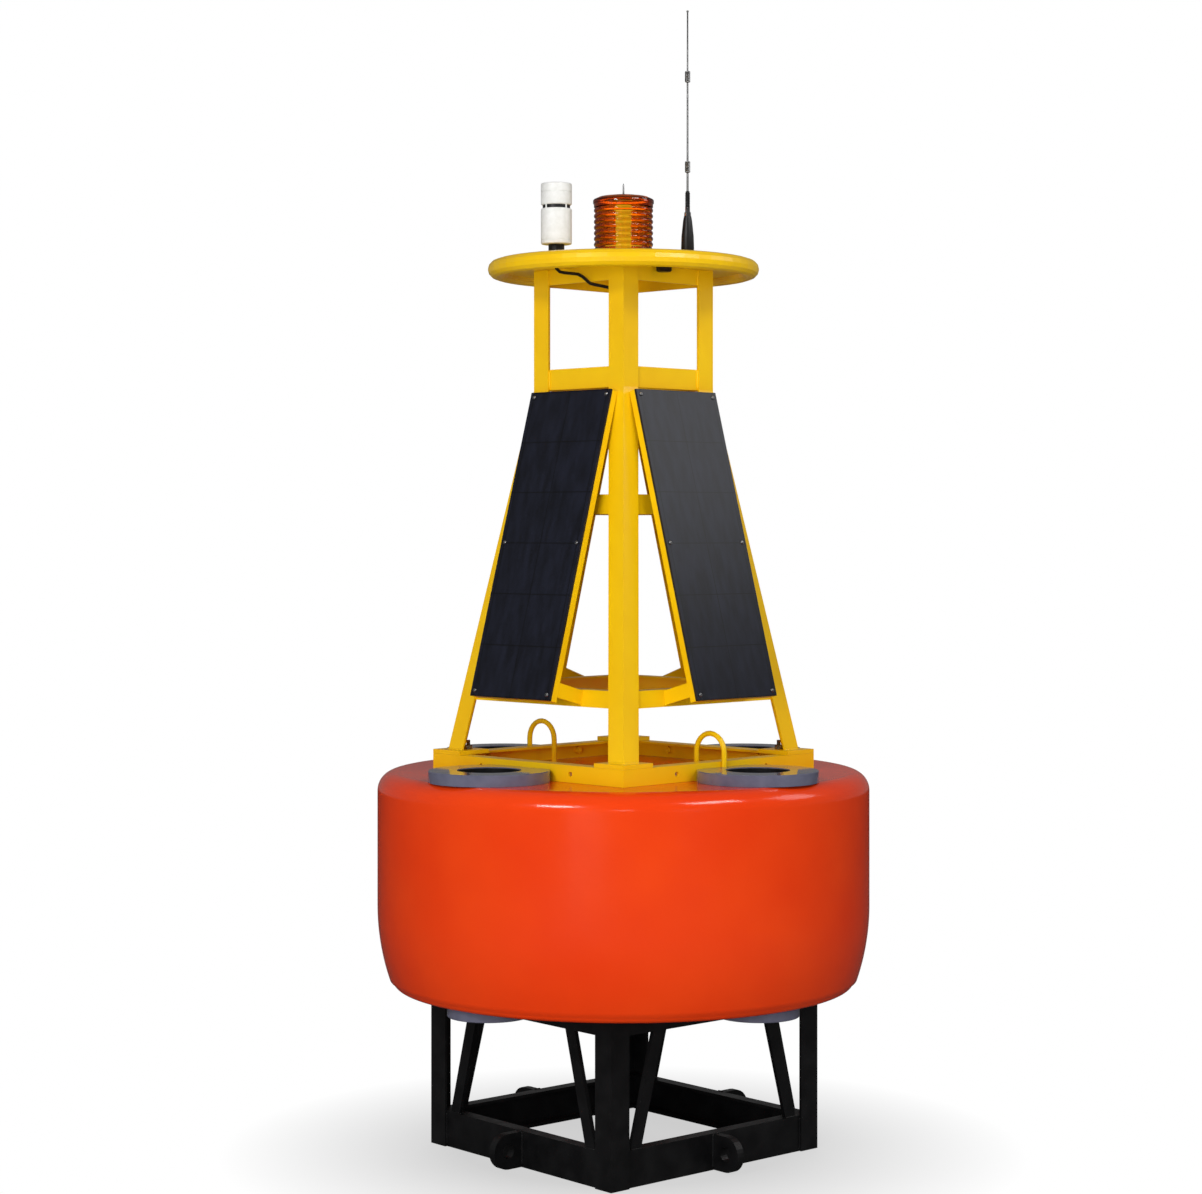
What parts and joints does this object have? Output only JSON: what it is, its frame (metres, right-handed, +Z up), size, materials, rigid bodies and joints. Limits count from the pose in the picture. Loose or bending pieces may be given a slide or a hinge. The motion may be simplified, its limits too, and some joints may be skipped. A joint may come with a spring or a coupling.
{
  "type": "navigation data buoy",
  "caption": "Round orange foam buoy with a yellow solar tower, lantern and sensors on top, and a black mooring underframe below.",
  "frame": {"origin": "on the buoy's upright axis, in the plane of the underframe's bottom faces", "axes": "+Z up along the buoy's axis, -Y towards the tower corner that faces the viewer, +X to the viewer's right"},
  "size_m": [1.2, 1.2, 2.7796],
  "materials": {
    "hull_skin": "sprayed polyurea, orange, semi-gloss",
    "frame_black": "black coated steel, satin",
    "well_grey": "machined grey plastic, satin",
    "tower_yellow": "yellow powder coat, satin",
    "panel_face": "textured solar laminate, dark",
    "lens_amber": "clear amber plastic",
    "plastic_black": "moulded black plastic",
    "cable_black": "cable sheath, dull",
    "plastic_white": "moulded white plastic",
    "rod_steel": "stainless whip"
  },
  "bodies": {
    "root": {"foam_hull": "hull_skin", "underframe_lower_ring": "frame_black", "underframe_upper_ring": "frame_black", "underframe_post_back": "frame_black", "underframe_post_left": "frame_black", "underframe_post_front": "frame_black", "underframe_post_right": "frame_black", "mooring_lug_back_right": "frame_black", "mooring_lug_back_left": "frame_black", "mooring_lug_front_left": "frame_black", "mooring_lug_front_right": "frame_black", "instrument_well_back_right": "well_grey", "instrument_well_back_left": "well_grey", "instrument_well_front_left": "well_grey", "instrument_well_front_right": "well_grey", "base_ring": "tower_yellow", "outrigger_ring": "tower_yellow", "tower_mid_ring": "tower_yellow", "tower_cage_ring": "tower_yellow", "tower_top_ring": "tower_yellow", "top_plate": "tower_yellow", "foot_plate_back": "tower_yellow", "foot_plate_left": "tower_yellow", "foot_plate_front": "tower_yellow", "foot_plate_right": "tower_yellow", "tower_leg_back": "tower_yellow", "tower_leg_left": "tower_yellow", "tower_leg_front": "tower_yellow", "tower_leg_right": "tower_yellow", "panel_frame_back_right": "tower_yellow", "panel_frame_back_left": "tower_yellow", "panel_frame_front_left": "tower_yellow", "panel_frame_front_right": "tower_yellow", "lifting_eye_back_left": "tower_yellow", "lifting_eye_front_right": "tower_yellow", "solar_panel_back_right": "panel_face", "solar_panel_back_left": "panel_face", "solar_panel_front_left": "panel_face", "solar_panel_front_right": "panel_face", "lantern_lens": "lens_amber", "lantern_cap": "lens_amber", "lantern_base": "plastic_black", "sensor_mount": "plastic_black", "antenna_base": "plastic_black", "spare_gland": "plastic_black", "cable_gland": "plastic_black", "cable_grommet": "plastic_black", "sensor_cable": "cable_black", "weather_sensor": "plastic_white", "antenna_rod": "rod_steel"}
  },
  "joints": []
}
